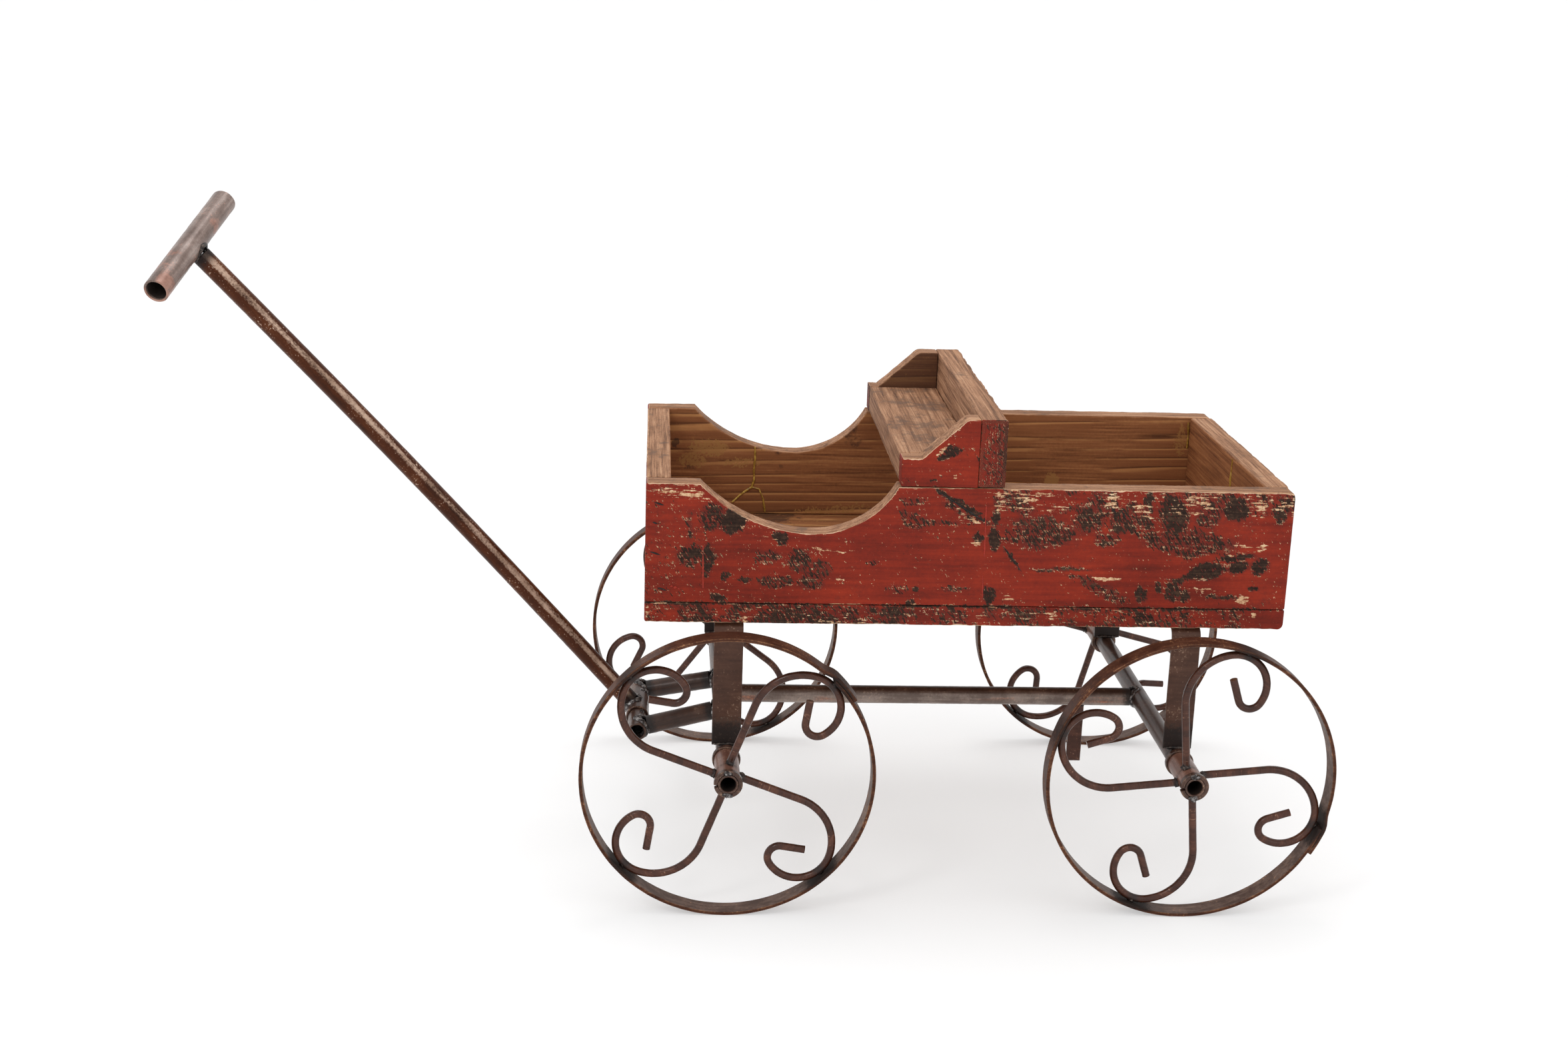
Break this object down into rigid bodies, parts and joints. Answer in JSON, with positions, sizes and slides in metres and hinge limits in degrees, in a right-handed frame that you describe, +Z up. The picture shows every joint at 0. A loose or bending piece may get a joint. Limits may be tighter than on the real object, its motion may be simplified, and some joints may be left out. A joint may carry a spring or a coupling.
{
  "type": "pull wagon",
  "caption": "Wooden buckboard wagon box with scooped sides and a bench seat, on a tubular running gear with scroll-spoked wheels and a T-handle that swings up and down.",
  "frame": {"origin": "on the ground, under the middle of the whole wagon's bounding box, handle included", "axes": "+X forward, the way the wagon is pulled; +Y to the wagon's left, along the axles; +Z up"},
  "size_m": [0.9723, 0.4264, 0.5615],
  "materials": {
    "red_paint": "old matt red paint over wood, chipped and worn",
    "bare_wood": "bare, weathered softwood",
    "brown_steel": "dark brown lacquered steel, worn through at the edges",
    "screw_steel": "plain zinc"
  },
  "bodies": {
    "wagon": {"bottom_board": "red_paint", "side_board_left": "red_paint", "side_board_right": "red_paint", "front_board": "red_paint", "rear_board": "red_paint", "seat_arm_left": "red_paint", "seat_arm_right": "red_paint", "seat_board": "bare_wood", "seat_back": "bare_wood", "front_axle": "brown_steel", "rear_axle": "brown_steel", "front_bracket": "brown_steel", "rear_bracket": "brown_steel", "spine_tube": "brown_steel", "spine_tab": "brown_steel", "fork_arm_left": "brown_steel", "fork_arm_right": "brown_steel", "cross_tube": "brown_steel", "front_left_inner_ring": "brown_steel", "front_left_outer_ring": "brown_steel", "rear_left_inner_ring": "brown_steel", "rear_left_outer_ring": "brown_steel", "front_right_inner_ring": "brown_steel", "front_right_outer_ring": "brown_steel", "rear_right_inner_ring": "brown_steel", "rear_right_outer_ring": "brown_steel", "front_left_screw": "screw_steel", "rear_left_screw": "screw_steel", "front_right_screw": "screw_steel", "rear_right_screw": "screw_steel"},
    "handle": {"handle_sleeve": "brown_steel", "handle_tube": "brown_steel", "grip_tube": "brown_steel"},
    "front_left_wheel": {"front_left_rim": "brown_steel", "front_left_hub": "brown_steel", "front_left_scroll_1": "brown_steel", "front_left_scroll_2": "brown_steel", "front_left_scroll_3": "brown_steel", "front_left_scroll_4": "brown_steel"},
    "rear_left_wheel": {"rear_left_rim": "brown_steel", "rear_left_hub": "brown_steel", "rear_left_scroll_1": "brown_steel", "rear_left_scroll_2": "brown_steel", "rear_left_scroll_3": "brown_steel", "rear_left_scroll_4": "brown_steel"},
    "front_right_wheel": {"front_right_rim": "brown_steel", "front_right_hub": "brown_steel", "front_right_scroll_1": "brown_steel", "front_right_scroll_2": "brown_steel", "front_right_scroll_3": "brown_steel", "front_right_scroll_4": "brown_steel"},
    "rear_right_wheel": {"rear_right_rim": "brown_steel", "rear_right_hub": "brown_steel", "rear_right_scroll_1": "brown_steel", "rear_right_scroll_2": "brown_steel", "rear_right_scroll_3": "brown_steel", "rear_right_scroll_4": "brown_steel"}
  },
  "joints": [
    {"name": "front_left_wheel_spin", "type": "hinge", "parent": "wagon", "child": "front_left_wheel", "pos_m": [0.01737, 0.193, 0.121], "axis": [0, 1, 0], "continuous": true},
    {"name": "rear_left_wheel_spin", "type": "hinge", "parent": "wagon", "child": "rear_left_wheel", "pos_m": [-0.36513, 0.193, 0.121], "axis": [0, 1, 0], "continuous": true},
    {"name": "front_right_wheel_spin", "type": "hinge", "parent": "wagon", "child": "front_right_wheel", "pos_m": [0.01737, -0.193, 0.121], "axis": [0, 1, 0], "continuous": true},
    {"name": "rear_right_wheel_spin", "type": "hinge", "parent": "wagon", "child": "rear_right_wheel", "pos_m": [-0.36513, -0.193, 0.121], "axis": [0, 1, 0], "continuous": true},
    {"name": "handle_pitch", "type": "hinge", "parent": "wagon", "child": "handle", "pos_m": [0.09237, 0, 0.105], "axis": [0, 1, 0], "range_deg": [-37, 53]}
  ]
}
